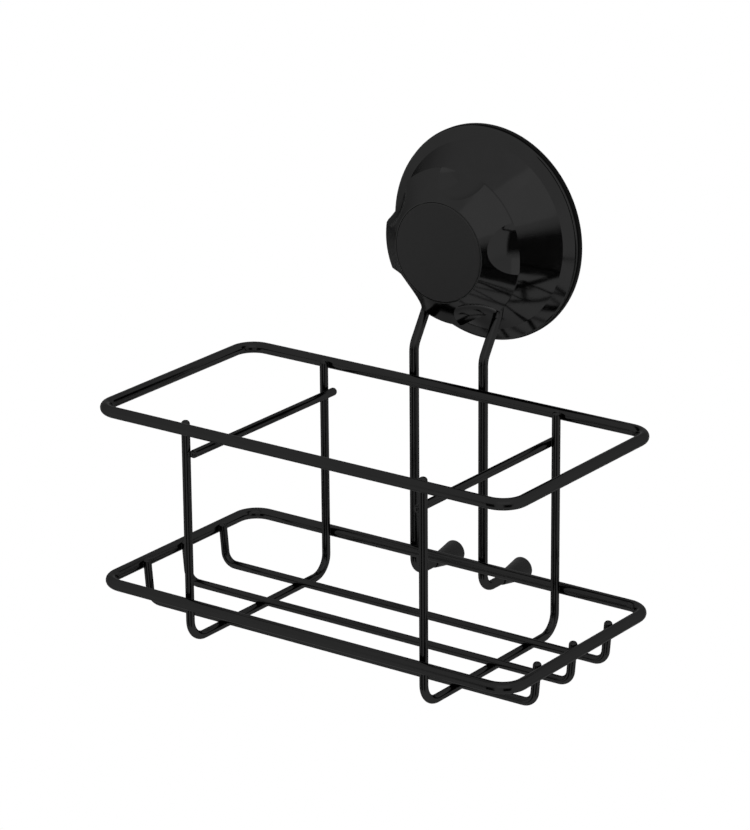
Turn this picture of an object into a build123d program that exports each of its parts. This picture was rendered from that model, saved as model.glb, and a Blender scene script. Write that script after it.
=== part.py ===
"""Wall shower caddy: a welded wire basket hung on a twist-lock suction cup.

Millimetres. The origin is the centre of the suction pad's wall face, the wall is the plane y = 0 with
+Y going into it, X runs along the wall and +Z is up. Everything stands on the room side, at negative y.
"""
import math
import os

from build123d import *

# Wire gauges, over their coating
RIM_WIRE = 5.0
HANGER_WIRE = 4.2
HOOP_WIRE = 3.7
BAR_WIRE = 3.6
BASE_WIRE = 3.6
HOOP_WELD_SINK = 0.1
WELD_SINK = 0.4
HANGER_WELD_SINK = 0.8
CROSS_WELD_SINK = 1.0

# Basket, on the centrelines of its wires
BASKET_LENGTH = 210.0
BASKET_DEPTH = 105.2
BASKET_HEIGHT = 78.3
RIM_BEND = 9.5
TOP_RIM_DROP = 61.2
WALL_TO_RIM = 35.0
HOOP_SPACING = 121.0
HOOP_DROP = 18.4
HOOP_BEND = 9.0
HOOP_TIP = 2.3
BAR_DROP = 12.2
BAR_FRONT_END = 0.6
BAR_REAR_END = 3.5
BASE_WIRE_PITCH = 26.6
BASE_WIRE_BEND = 5.5
BASE_WIRE_TIP = 3.0
BASE_WIRE_FLARE = 5.0
TIP_ROUND = 1.5

# Hanger wire and its two wall bumpers
HANGER_SPACING = 36.0
HANGER_SHOULDER_DROP = 46.5
HANGER_LEAN = 33.0
HANGER_BEND = 9.0
HANGER_FOOT_DROP = 151.1
HANGER_FOOT_BEND = 7.0
BUMPER_LENGTH = 17.0
BUMPER_WALL_END = 10.6
BUMPER_ROOM_END = 5.2
BUMPER_FLOOR = 4.0
BUMPER_ROUND = 0.9

# Suction pad
PAD_RADIUS = 47.6
PAD_THICKNESS = 3.1
PAD_ROUND = 0.6
PAD_HUB_FOOT = 14.0
PAD_HUB_TOP = 10.5
PAD_HUB_HEIGHT = 8.0

# Bell cover
BELL_RADIUS = 47.2
BELL_RIM = 1.0
BELL_RIM_ROUND = 0.4
BELL_WALL = 2.2
DOME_FOOT = 44.8
DOME_SHOULDER = 26.6
DOME_BULGE = 0.3
SKIRT_SLOPE = 27.0
SKIRT_LEDGE = 0.4
SKIRT_LAP = 4.4
GROOVE_FLOOR = 17.2
GROOVE_CLEARANCE = 0.3
GUIDE_TUBE_RADIUS = 9.6
GUIDE_TUBE_END = 11.2
RIB_COUNT = 6
RIB_THICKNESS = 1.6
RIB_END = 12.4
RIB_REACH = 30.0

# Draw stud, its guide and the fasteners on it
DRAW_TRAVEL = 2.4
STUD_FLANGE_RADIUS = 9.0
STUD_FLANGE_START = 3.4
STUD_FLANGE_THICKNESS = 2.0
GUIDE_SQUARE = 8.0
GUIDE_END = 15.5
GUIDE_CLEARANCE = 0.15
STUD_DIAMETER = 6.0
STUD_HOLE_CLEARANCE = 0.08
STOP_WASHER_RADIUS = 4.6
STOP_WASHER_THICKNESS = 0.8
STOP_SCREW_DIAMETER = 3.0
STOP_SCREW_LENGTH = 9.0
STOP_SCREW_HEAD_RADIUS = 2.8
STOP_SCREW_HEAD_HEIGHT = 1.8
SCREW_RECESS_WIDTH = 0.8
SCREW_RECESS_LENGTH = 3.2
SCREW_RECESS_DEPTH = 1.0

# Stack between the bell and the knob
HANGER_PLAY = 0.2
THRUST_WASHER_COVER = 1.9
THRUST_WASHER_THICKNESS = 1.2
LOOSE_HOLE_CLEARANCE = 0.3
RUNNING_GAP = 0.1

# Knob, its nut and its cap
KNOB_BASE_RADIUS = 34.4
KNOB_BASE = 27.6
KNOB_EDGE = 0.9
KNOB_SKIRT_RADIUS = 30.8
KNOB_SKIRT_END = 23.4
KNOB_SKIRT_WALL = 2.4
KNOB_FACE = 38.8
KNOB_LIP = 0.4
KNOB_LIP_ROUND = 0.3
KNOB_HUB_RADIUS = 10.5
KNOB_HUB_FLOOR = 3.0
KNOB_CAVITY_MOUTH = 27.0
KNOB_CAVITY_TOP_RADIUS = 22.5
KNOB_CAVITY_TOP = 31.5
KNOB_WELL_FLOOR = 34.0
SCOOP_COUNT = 5
SCOOP_PHASE = 8.0
SCOOP_SPHERE = 24.0
SCOOP_DEPTH = 4.0
KNOB_RIB_THICKNESS = 1.6
KNOB_RIB_END = 28.8
NUT_SIDES = 6
NUT_ACROSS_FLATS = 10.0
NUT_THICKNESS = 5.0
NUT_POCKET_CLEARANCE = 0.05
NUT_THREAD_CLEARANCE = 0.05
STOP_GAP = 0.2
CAP_RADIUS = 21.6
CAP_THICKNESS = 1.8
CAP_GAP = 0.2
CAP_PROUD = 0.2
CAP_ROUND = 0.4
CAP_SKIRT_RADIUS = 19.2
CAP_SKIRT_WALL = 1.6
CAP_SKIRT_HEIGHT = 2.2
CAP_SKIRT_CLEARANCE = 0.1

# Places that follow from the sizes above
top_rim_z = -TOP_RIM_DROP
bottom_rim_z = top_rim_z - BASKET_HEIGHT
rear_rail_y = -WALL_TO_RIM
front_rail_y = rear_rail_y - BASKET_DEPTH
middle_y = (rear_rail_y + front_rail_y) / 2
side_rail_x = BASKET_LENGTH / 2
hoop_x = HOOP_SPACING / 2
hoop_offset = (RIM_WIRE + HOOP_WIRE) / 2 - HOOP_WELD_SINK
hoop_front_y = front_rail_y + hoop_offset
hoop_rear_y = rear_rail_y - hoop_offset
hoop_leg_z = bottom_rim_z - HOOP_DROP
base_wire_z = hoop_leg_z + (HOOP_WIRE + BASE_WIRE) / 2 - CROSS_WELD_SINK
hanger_x = HANGER_SPACING / 2
hanger_leg_y = rear_rail_y + (RIM_WIRE + HANGER_WIRE) / 2 - HANGER_WELD_SINK

# Distances from the wall along the cup's axis, positive towards the room
bell_rim_back = PAD_THICKNESS
bell_rim_front = bell_rim_back + BELL_RIM
loop_centre = GROOVE_FLOOR + HANGER_PLAY + HANGER_WIRE / 2
bell_front = loop_centre + HANGER_WIRE / 2 + HANGER_PLAY
thrust_front = bell_front + THRUST_WASHER_THICKNESS
knob_back = thrust_front + RUNNING_GAP
nut_back = knob_back + KNOB_HUB_FLOOR
nut_front = nut_back + NUT_THICKNESS
stud_front = nut_front + STOP_GAP
cap_back = KNOB_FACE - CAP_THICKNESS
knob_lip_front = KNOB_FACE - CAP_PROUD
stud_radius = STUD_DIAMETER / 2
groove_inner = hanger_x - HANGER_WIRE / 2 - GROOVE_CLEARANCE
groove_outer = hanger_x + HANGER_WIRE / 2 + GROOVE_CLEARANCE
thrust_washer_radius = hanger_x + HANGER_WIRE / 2 + THRUST_WASHER_COVER
guide_socket_end = GUIDE_END + DRAW_TRAVEL + GUIDE_CLEARANCE


def bent_wire(points, bend, diameter):
    """Round wire along a route of straight runs joined by tangent bends of one radius."""
    route = FilletPolyline(*points, radius=bend)
    return swept_wire(route, diameter)


def swept_wire(route, diameter):
    """Round wire along a smooth route."""
    section = Plane(origin=route @ 0, z_dir=route % 0) * Circle(diameter / 2)
    return sweep(section, path=route)


def round_tips(wire, tips):
    """Round the end faces of a wire whose centres are the given points."""
    ends = []
    for tip in tips:
        ends += wire.edges().filter_by(GeomType.CIRCLE).sort_by_distance(tip)[:1]
    return fillet(ends, TIP_ROUND)


def turned(points):
    """Solid of revolution about the cup's axis through (radius, distance from the wall) points."""
    outline = Polyline(*[(radius, -distance) for radius, distance in points], close=True)
    return revolve(make_face(outline), axis=Axis.Y)


def ring(outer, inner, back, front):
    """Flat ring about the cup's axis between two distances from the wall."""
    return turned([(inner, back), (outer, back), (outer, front), (inner, front)])


def prism(sketch, back, front):
    """Solid with the sketch's section along the cup's axis between two distances from the wall."""
    start = Plane(origin=(0, -back, 0), x_dir=(1, 0, 0), z_dir=(0, -1, 0))
    return extrude(start * sketch, amount=front - back)


def rim(height):
    """Closed rounded-rectangle ring of rim wire."""
    outline = RectangleRounded(BASKET_LENGTH, BASKET_DEPTH, RIM_BEND).wire()
    return swept_wire(Pos(0, middle_y, height) * outline, RIM_WIRE)


def hoop(side):
    """U of wire that carries both rims at one side: down the front, under the base, up the back."""
    x = side * hoop_x
    tip_z = top_rim_z + HOOP_TIP
    front_tip = (x, hoop_front_y, tip_z)
    rear_tip = (x, hoop_rear_y, tip_z)
    corners = [front_tip, (x, hoop_front_y, hoop_leg_z), (x, hoop_rear_y, hoop_leg_z), rear_tip]
    return round_tips(bent_wire(corners, HOOP_BEND, HOOP_WIRE), [front_tip, rear_tip])


def side_bar(side):
    """Straight divider bar on the inner side of a hoop's two uprights."""
    x = side * (hoop_x - (HOOP_WIRE + BAR_WIRE) / 2 + WELD_SINK)
    z = top_rim_z - BAR_DROP
    front_end = (x, hoop_front_y - BAR_FRONT_END, z)
    rear_end = (x, hoop_rear_y + BAR_REAR_END, z)
    return round_tips(swept_wire(Line(front_end, rear_end), BAR_WIRE), [front_end, rear_end])


def base_wire(row):
    """Long base wire whose ends turn up inside the bottom rim's short rails."""
    y = middle_y + row * BASE_WIRE_PITCH
    rail_x = side_rail_x - (RIM_WIRE + BASE_WIRE) / 2 + WELD_SINK
    lean = math.tan(math.radians(BASE_WIRE_FLARE))
    tip_x = rail_x + BASE_WIRE_TIP * lean
    tip_z = bottom_rim_z + BASE_WIRE_TIP
    foot_x = rail_x - (bottom_rim_z - base_wire_z) * lean
    left_tip = (-tip_x, y, tip_z)
    right_tip = (tip_x, y, tip_z)
    corners = [left_tip, (-foot_x, y, base_wire_z), (foot_x, y, base_wire_z), right_tip]
    return round_tips(bent_wire(corners, BASE_WIRE_BEND, BASE_WIRE), [left_tip, right_tip])


def hanger():
    """One wire: up from a wall bumper, back behind the knob, round the bell's groove and down again."""
    loop_y = -loop_centre
    lean_rise = (loop_y - hanger_leg_y) / math.tan(math.radians(HANGER_LEAN))
    legs = []
    for side in (1, -1):
        x = side * hanger_x
        corners = [
            (x, -BUMPER_FLOOR, -HANGER_FOOT_DROP),
            (x, hanger_leg_y, -HANGER_FOOT_DROP),
            (x, hanger_leg_y, -HANGER_SHOULDER_DROP),
            (x, loop_y, lean_rise - HANGER_SHOULDER_DROP),
            (x, loop_y, 0),
        ]
        bends = [HANGER_FOOT_BEND, HANGER_BEND, HANGER_BEND]
        legs.append(FilletPolyline(*corners, radius=bends))
    loop = ThreePointArc((hanger_x, loop_y, 0), (0, loop_y, hanger_x), (-hanger_x, loop_y, 0))
    edges = legs[0].edges() + loop.edges() + legs[1].edges()
    return swept_wire(Wire(edges), HANGER_WIRE)


def bumper(side):
    """Tapered rubber foot pushed over a lower end of the hanger wire, flat against the wall."""
    room_end = BUMPER_ROOM_END / 2
    wall_end = BUMPER_WALL_END / 2
    bore = HANGER_WIRE / 2
    cone = turned([(0, 0), (wall_end, 0), (room_end, BUMPER_LENGTH), (0, BUMPER_LENGTH)])
    wall_edge = cone.edges().filter_by(GeomType.CIRCLE).sort_by(Axis.Y)[-1:]
    cone = fillet(wall_edge, BUMPER_ROUND)
    cone -= turned([(0, BUMPER_FLOOR), (bore, BUMPER_FLOOR), (bore, BUMPER_LENGTH), (0, BUMPER_LENGTH)])
    return Pos(side * hanger_x, 0, -HANGER_FOOT_DROP) * cone


def draw_stud():
    """Flange in the pad's hub, square guide, and threaded shank that the knob's nut pulls on."""
    flange_front = STUD_FLANGE_START + STUD_FLANGE_THICKNESS
    flange = ring(STUD_FLANGE_RADIUS, 0, STUD_FLANGE_START, flange_front)
    guide = prism(Rectangle(GUIDE_SQUARE, GUIDE_SQUARE), flange_front, GUIDE_END)
    shank = ring(stud_radius, 0, GUIDE_END, stud_front)
    tapped = ring(STOP_SCREW_DIAMETER / 2, 0, stud_front - STOP_SCREW_LENGTH, stud_front)
    return flange + guide + shank - tapped


def suction_pad(stud):
    """Rubber disc, flat on the wall, with a hub moulded round the stud's flange."""
    disc = ring(PAD_RADIUS, 0, 0, PAD_THICKNESS)
    disc = fillet(disc.edges().filter_by(GeomType.CIRCLE), PAD_ROUND)
    hub_foot = (PAD_HUB_FOOT, PAD_THICKNESS)
    hub = turned([(0, 0), hub_foot, (PAD_HUB_TOP, PAD_HUB_HEIGHT), (0, PAD_HUB_HEIGHT)])
    return disc + hub - stud


def dome(foot, shoulder, front):
    """Solid with a bulging flank, from a foot at the flange's back up to a flat front."""
    rise = front - bell_rim_back
    drawn_in = foot - shoulder
    bulge = DOME_BULGE / math.hypot(rise, drawn_in)
    low = (foot, -bell_rim_back)
    high = (shoulder, -front)
    middle = ((foot + shoulder) / 2 + bulge * rise, -(bell_rim_back + front) / 2 - bulge * drawn_in)
    flank = ThreePointArc(low, middle, high)
    ends = Polyline(high, (0, -front), (0, -bell_rim_back), low)
    return revolve(make_face(flank + ends), axis=Axis.Y)


def skirt():
    """Low cone on the flange that runs up into the foot of the dome's steeper flank."""
    foot = BELL_RADIUS - BELL_RIM_ROUND - SKIRT_LEDGE
    top = DOME_FOOT - SKIRT_LAP
    climb = (foot - top) * math.tan(math.radians(SKIRT_SLOPE))
    low = (foot, -bell_rim_front)
    high = (top, -bell_rim_front - climb)
    outline = Polyline(low, high, (0, high[1]), (0, low[1]), close=True)
    return revolve(make_face(outline), axis=Axis.Y)


def hanger_strip(half_width):
    """Sketch of a round-topped strip over the hanger's loop that runs down to the bell's edge."""
    return Circle(half_width) + Pos(0, -BELL_RADIUS / 2) * Rectangle(2 * half_width, BELL_RADIUS)


def bell_cover():
    """Moulded dome on a sloping flange, grooved in front for the hanger, with the stud's guide tube inside."""
    flange = ring(BELL_RADIUS, 0, bell_rim_back, bell_rim_front)
    outside = dome(DOME_FOOT, DOME_SHOULDER, bell_front)
    body = flange + outside
    outer_edges = body.edges().filter_by(GeomType.CIRCLE).sort_by(SortBy.RADIUS)[-2:]
    body = fillet(outer_edges, BELL_RIM_ROUND) + skirt()
    body -= dome(DOME_FOOT - BELL_WALL, DOME_SHOULDER - BELL_WALL, bell_front - BELL_WALL)
    body += prism(hanger_strip(groove_outer + BELL_WALL), GROOVE_FLOOR - BELL_WALL, bell_front) & outside
    body += ring(GUIDE_TUBE_RADIUS, 0, GUIDE_TUBE_END, bell_front)
    for index in range(RIB_COUNT):
        rib_sketch = Pos(RIB_REACH / 2, 0) * Rectangle(RIB_REACH, RIB_THICKNESS)
        rib = prism(rib_sketch, RIB_END, GROOVE_FLOOR)
        body += (Rot(0, index * 360 / RIB_COUNT, 0) * rib) & outside
    body -= prism(hanger_strip(groove_outer) - hanger_strip(groove_inner), GROOVE_FLOOR, bell_front)
    socket = GUIDE_SQUARE + 2 * GUIDE_CLEARANCE
    body -= prism(Rectangle(socket, socket), GUIDE_TUBE_END, guide_socket_end)
    return body - ring(stud_radius + STUD_HOLE_CLEARANCE, 0, guide_socket_end, bell_front)


def knob():
    """Hollow knob, widest above a tapered skirt, with scooped flanks, a nut hub and a cap well."""
    lip_radius = CAP_RADIUS + CAP_GAP + KNOB_LIP
    edge_front = KNOB_BASE + KNOB_EDGE
    hole = stud_radius + LOOSE_HOLE_CLEARANCE
    body = turned([
        (0, KNOB_SKIRT_END),
        (KNOB_SKIRT_RADIUS, KNOB_SKIRT_END),
        (KNOB_BASE_RADIUS, KNOB_BASE),
        (KNOB_BASE_RADIUS, edge_front),
        (lip_radius, knob_lip_front),
        (0, knob_lip_front),
    ])
    lip = (lip_radius, -knob_lip_front, 0)
    lip_edge = body.edges().filter_by(GeomType.CIRCLE).sort_by_distance(lip)[:1]
    body = fillet(lip_edge, KNOB_LIP_ROUND)
    slope = math.atan2(KNOB_BASE_RADIUS - lip_radius, knob_lip_front - edge_front)
    reach = SCOOP_SPHERE - SCOOP_DEPTH
    scoop_radius = KNOB_BASE_RADIUS + reach * math.cos(slope)
    scoop_front = edge_front + reach * math.sin(slope)
    cavity = turned([
        (0, KNOB_SKIRT_END),
        (KNOB_SKIRT_RADIUS - KNOB_SKIRT_WALL, KNOB_SKIRT_END),
        (KNOB_CAVITY_MOUTH, KNOB_BASE),
        (KNOB_CAVITY_TOP_RADIUS, KNOB_CAVITY_TOP),
        (0, KNOB_CAVITY_TOP),
    ])
    body -= cavity
    step = 360 / SCOOP_COUNT
    for index in range(SCOOP_COUNT):
        scoop_turn = -(SCOOP_PHASE + index * step)
        body -= Rot(0, scoop_turn, 0) * Pos(scoop_radius, -scoop_front, 0) * Sphere(SCOOP_SPHERE)
        rib_plan = Rectangle(KNOB_CAVITY_TOP_RADIUS, KNOB_RIB_THICKNESS)
        rib_sketch = Pos(KNOB_CAVITY_TOP_RADIUS / 2, 0) * rib_plan
        rib = prism(rib_sketch, KNOB_RIB_END, KNOB_CAVITY_TOP)
        body += Rot(0, scoop_turn - step / 2, 0) * rib
    body += ring(KNOB_HUB_RADIUS, 0, knob_back, KNOB_CAVITY_TOP)
    body -= ring(CAP_RADIUS + CAP_GAP, 0, cap_back, KNOB_FACE)
    body -= ring(CAP_SKIRT_RADIUS + CAP_SKIRT_CLEARANCE, 0, KNOB_WELL_FLOOR, cap_back)
    pocket_radius = NUT_ACROSS_FLATS / 2 + NUT_POCKET_CLEARANCE
    body -= prism(RegularPolygon(pocket_radius, NUT_SIDES, major_radius=False), nut_back, KNOB_WELL_FLOOR)
    return body - ring(hole, 0, knob_back, nut_back)


def knob_nut():
    """Hexagon nut in the knob's hub."""
    hexagon = RegularPolygon(NUT_ACROSS_FLATS / 2, NUT_SIDES, major_radius=False)
    return prism(hexagon - Circle(stud_radius + NUT_THREAD_CLEARANCE), nut_back, nut_front)


def knob_cap():
    """Plain round cap that closes the knob's front, with a skirt in the well."""
    disc = ring(CAP_RADIUS, 0, cap_back, KNOB_FACE)
    face_edge = disc.edges().filter_by(GeomType.CIRCLE).sort_by(Axis.Y)[:1]
    disc = fillet(face_edge, CAP_ROUND)
    skirt_back = cap_back - CAP_SKIRT_HEIGHT
    return disc + ring(CAP_SKIRT_RADIUS, CAP_SKIRT_RADIUS - CAP_SKIRT_WALL, skirt_back, cap_back)


def stop_screw():
    """Small pan-head screw in the stud's tip that keeps the knob from being unscrewed off."""
    head_back = stud_front + STOP_WASHER_THICKNESS
    head_front = head_back + STOP_SCREW_HEAD_HEIGHT
    thread = ring(STOP_SCREW_DIAMETER / 2, 0, stud_front - STOP_SCREW_LENGTH, head_back)
    head = ring(STOP_SCREW_HEAD_RADIUS, 0, head_back, head_front)
    slot = Rectangle(SCREW_RECESS_LENGTH, SCREW_RECESS_WIDTH)
    recess = slot + Rectangle(SCREW_RECESS_WIDTH, SCREW_RECESS_LENGTH)
    return thread + head - prism(recess, head_front - SCREW_RECESS_DEPTH, head_front)


def build():
    """Every piece of the caddy by name, later wires coped over the wires they are welded to."""
    pieces = {"top_rim": rim(top_rim_z), "bottom_rim": rim(bottom_rim_z)}
    rims = pieces["top_rim"] + pieces["bottom_rim"]
    for name, side in (("left", -1), ("right", 1)):
        pieces[name + "_hoop"] = hoop(side) - rims
        pieces[name + "_side_bar"] = side_bar(side) - pieces[name + "_hoop"]
    for name, row in (("front", -1), ("middle", 0), ("rear", 1)):
        carried = pieces["bottom_rim"] + pieces["left_hoop"] + pieces["right_hoop"]
        pieces[name + "_base_wire"] = base_wire(row) - carried
    pieces["hanger_wire"] = hanger() - rims
    for name, side in (("left", -1), ("right", 1)):
        pieces[name + "_wall_bumper"] = bumper(side)
    pieces["draw_stud"] = draw_stud()
    pieces["suction_pad"] = suction_pad(pieces["draw_stud"])
    pieces["bell_cover"] = bell_cover()
    thrust_hole = stud_radius + LOOSE_HOLE_CLEARANCE
    pieces["thrust_washer"] = ring(thrust_washer_radius, thrust_hole, bell_front, thrust_front)
    pieces["knob"] = knob()
    pieces["knob_nut"] = knob_nut()
    washer_front = stud_front + STOP_WASHER_THICKNESS
    pieces["stop_washer"] = ring(STOP_WASHER_RADIUS, STOP_SCREW_DIAMETER / 2, stud_front, washer_front)
    pieces["stop_screw"] = stop_screw()
    pieces["knob_cap"] = knob_cap()
    return pieces


os.makedirs("parts", exist_ok=True)
for piece_name, shape in build().items():
    export_step(shape, f"parts/{piece_name}.step")
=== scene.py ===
"""Dressed model of a wire shower caddy that hangs on a twist-lock suction cup.

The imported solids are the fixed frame. Wires, mouldings and fasteners keep their solids and get a finish
here. The soft rubber parts are replaced by turned surfaces, and the coated welds of the wires are added.
Metres, in the frame of the solids: the wall is y = 0, the room is at negative y, and +Z is up.
"""
import logging
import math
from dataclasses import dataclass, field, replace
from enum import Enum
from typing import Union

import bpy
import numpy as np
from mathutils import Matrix, Vector


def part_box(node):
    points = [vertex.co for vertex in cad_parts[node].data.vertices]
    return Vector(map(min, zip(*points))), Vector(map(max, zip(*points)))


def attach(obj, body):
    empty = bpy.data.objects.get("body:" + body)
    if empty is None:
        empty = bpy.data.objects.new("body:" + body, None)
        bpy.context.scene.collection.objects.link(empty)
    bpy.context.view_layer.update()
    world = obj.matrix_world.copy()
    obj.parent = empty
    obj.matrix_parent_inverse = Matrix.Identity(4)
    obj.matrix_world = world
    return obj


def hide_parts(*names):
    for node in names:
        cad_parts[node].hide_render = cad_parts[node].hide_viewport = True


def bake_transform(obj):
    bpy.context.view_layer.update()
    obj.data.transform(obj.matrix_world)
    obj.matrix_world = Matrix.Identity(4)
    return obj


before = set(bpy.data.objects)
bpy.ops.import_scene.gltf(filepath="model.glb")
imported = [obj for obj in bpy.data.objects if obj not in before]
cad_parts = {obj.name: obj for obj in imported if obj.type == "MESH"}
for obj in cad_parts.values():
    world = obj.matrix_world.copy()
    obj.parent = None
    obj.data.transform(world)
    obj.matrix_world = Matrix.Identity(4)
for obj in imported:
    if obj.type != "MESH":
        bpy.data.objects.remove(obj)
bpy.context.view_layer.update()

MILLIMETRE = 0.001
X, Y, Z = range(3)
SIDES = (-1, 1)
ALONG_WALL = (1.0, 0.0, 1.0)
NOISE_MEAN = 0.5
NOISE_ROUGHNESS = 0.55
EVEN_BLEND = 0.5
WHITE = (1.0, 1.0, 1.0, 1.0)
QUARTER_TURN = 90.0
ONE_FACE = [(0, 1, 2, 3)]
# Which sockets of the Mix node hold its two colours and the mixed one.
FIRST_COLOUR, SECOND_COLOUR, MIXED_COLOUR = 6, 7, 2
LOG = logging.getLogger("shower_caddy")


class Body(Enum):
    """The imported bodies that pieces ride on."""

    BASKET = "basket"
    DRAW_CORE = "draw_core"


class Slot(Enum):
    """Names of the record's material slots for the wire coat, the bumper rubber and the pad rubber."""

    COATED_WIRE = "coated_wire"
    BUMPER_RUBBER = "bumper_rubber"
    PAD_RUBBER = "pad_rubber"


class Direction(Enum):
    """Unit vectors along the wires and across their welds."""

    ACROSS = (1.0, 0.0, 0.0)
    INTO_WALL = (0.0, 1.0, 0.0)
    UP = (0.0, 0.0, 1.0)

    def vector(self) -> np.ndarray:
        """Gives the direction as an array."""
        return np.array(self.value)


class Octaves(Enum):
    """How many octaves of detail a noise has."""

    ONE = 1.0
    TWO = 2.0
    THREE = 3.0
    FOUR = 4.0


Value = Union["Socket", float, int]
Colour = tuple[float, float, float]
Spot = tuple[tuple[float, float, float], np.ndarray]


def grey(level: float) -> Colour:
    """Gives a neutral colour of that level."""
    return (level, level, level)


@dataclass(frozen=True)
class Box:
    """The box of a solid at rest, as its lowest and highest corners."""

    low: np.ndarray
    high: np.ndarray

    @classmethod
    def of(cls, node: str) -> "Box":
        """Reads the box of the solid of that name from the frame."""
        low, high = (np.array(corner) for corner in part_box(node))
        return cls(low, high)

    def middle(self) -> np.ndarray:
        """Gives the middle of the box."""
        return (self.low + self.high) / 2

    def half(self) -> np.ndarray:
        """Gives half the box's size along each axis."""
        return (self.high - self.low) / 2


class Socket:
    """An output socket that takes Python's operators; each operation adds one Math node."""

    def __init__(self, graph: "Graph", socket: bpy.types.NodeSocket) -> None:
        """Keeps the socket and the graph that it belongs to."""
        self.graph = graph
        self.socket = socket

    def _math(self, operation: str, first: Value, second: Value) -> "Socket":
        """Adds a Math node on two values."""
        return self.graph.node("ShaderNodeMath", {"operation": operation}, {0: first, 1: second})

    def __add__(self, other: Value) -> "Socket":
        """Adds a value."""
        return self._math("ADD", self, other)

    def __radd__(self, other: Value) -> "Socket":
        """Adds to a value."""
        return self._math("ADD", other, self)

    def __sub__(self, other: Value) -> "Socket":
        """Takes a value away."""
        return self._math("SUBTRACT", self, other)

    def __rsub__(self, other: Value) -> "Socket":
        """Takes this from a value."""
        return self._math("SUBTRACT", other, self)

    def __mul__(self, other: Value) -> "Socket":
        """Multiplies by a value."""
        return self._math("MULTIPLY", self, other)

    def __rmul__(self, other: Value) -> "Socket":
        """Multiplies a value."""
        return self._math("MULTIPLY", other, self)

    def sine(self) -> "Socket":
        """Gives the sine."""
        return self._math("SINE", self, 0.0)

    def power(self, exponent: float) -> "Socket":
        """Raises to a power."""
        return self._math("POWER", self, exponent)

    def at_least(self, other: Value) -> "Socket":
        """Gives the larger of two values."""
        return self._math("MAXIMUM", self, other)


class Graph:
    """The nodes of a material or a world, which are added by calls."""

    def __init__(self, owner: bpy.types.Material | bpy.types.World) -> None:
        """Turns on the owner's nodes and clears them.

        Args:
            owner: the material or world that the nodes belong to.
        """
        owner.use_nodes = True
        self.tree = owner.node_tree
        self.tree.nodes.clear()

    def node(
        self,
        kind: str,
        settings: dict[str, object] | None = None,
        inputs: dict[str | int, object] | None = None,
        output: int | str = 0,
    ) -> Socket:
        """Adds one node.

        Args:
            kind: Blender's name of the node type.
            settings: properties of the node, set before its sockets.
            inputs: values or links of its input sockets.
            output: which output to give back.

        Returns:
            The chosen output of the new node.
        """
        made = self.tree.nodes.new(kind)
        for name, setting in (settings or {}).items():
            setattr(made, name, setting)
        for name, value in (inputs or {}).items():
            if isinstance(value, Socket):
                self.tree.links.new(value.socket, made.inputs[name])
            else:
                made.inputs[name].default_value = value
        return Socket(self, made.outputs[output])

    def end(self, kind: str, surface: Socket) -> None:
        """Adds an output node, which has no outputs of its own, and links the surface to it."""
        made = self.tree.nodes.new(kind)
        self.tree.links.new(surface.socket, made.inputs["Surface"])

    def place(self) -> Socket:
        """Gives the object coordinates, in metres in the frame of the solids."""
        return self.node("ShaderNodeTexCoord", output="Object")

    def part(self, place: Socket, axis: str) -> Socket:
        """Gives one coordinate of a place, by the name of its axis."""
        return self.node("ShaderNodeSeparateXYZ", None, {"Vector": place}, axis)

    def off_axis(self, place: Socket) -> Socket:
        """Gives the distance of a place from the cup's axis, which runs along Y."""
        flat = self.node("ShaderNodeVectorMath", {"operation": "MULTIPLY"}, {0: place, 1: ALONG_WALL})
        return self.node("ShaderNodeVectorMath", {"operation": "LENGTH"}, {0: flat}, "Value")

    def noise(self, place: Socket, grain: float, octaves: Octaves = Octaves.TWO) -> Socket:
        """Gives noise from 0 to 1.

        Args:
            place: the coordinates that it follows.
            grain: how many metres across its grains are.
            octaves: how much finer detail it has.

        Returns:
            The noise's value.
        """
        sockets = {
            "Vector": place,
            "Scale": 1.0 / grain,
            "Detail": octaves.value,
            "Roughness": NOISE_ROUGHNESS,
        }
        return self.node("ShaderNodeTexNoise", {"noise_dimensions": "3D"}, sockets, "Fac")

    def two_tone(self, share: Socket, dark: Colour, light: Colour) -> Socket:
        """Mixes two colours by a share from 0 to 1."""
        sockets = {"Factor": share, FIRST_COLOUR: (*dark, 1.0), SECOND_COLOUR: (*light, 1.0)}
        return self.node("ShaderNodeMix", {"data_type": "RGBA"}, sockets, MIXED_COLOUR)

    def ramp(self, value: Socket, low: float, high: float) -> Socket:
        """Rises smoothly from 0 at the low value to 1 at the high one."""
        sockets = {"Value": value, "From Min": low, "From Max": high}
        return self.node("ShaderNodeMapRange", {"interpolation_type": "SMOOTHSTEP"}, sockets)

    def bump(self, height: Socket, depth: float, strength: float) -> Socket:
        """Turns a height from 0 to 1 into a normal, for relief that many metres deep."""
        sockets = {"Height": height, "Distance": depth, "Strength": strength}
        return self.node("ShaderNodeBump", None, sockets)

    def matt(self, colour: Colour) -> Socket:
        """Gives a plain matt surface of one colour."""
        return self.node("ShaderNodeBsdfDiffuse", None, {"Color": (*colour, 1.0)})

    def mix(self, share: Socket, first: Socket, second: Socket) -> Socket:
        """Mixes two surfaces, from the first at a share of 0 to the second at 1."""
        return self.node("ShaderNodeMixShader", None, {0: share, 1: first, 2: second})


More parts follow.
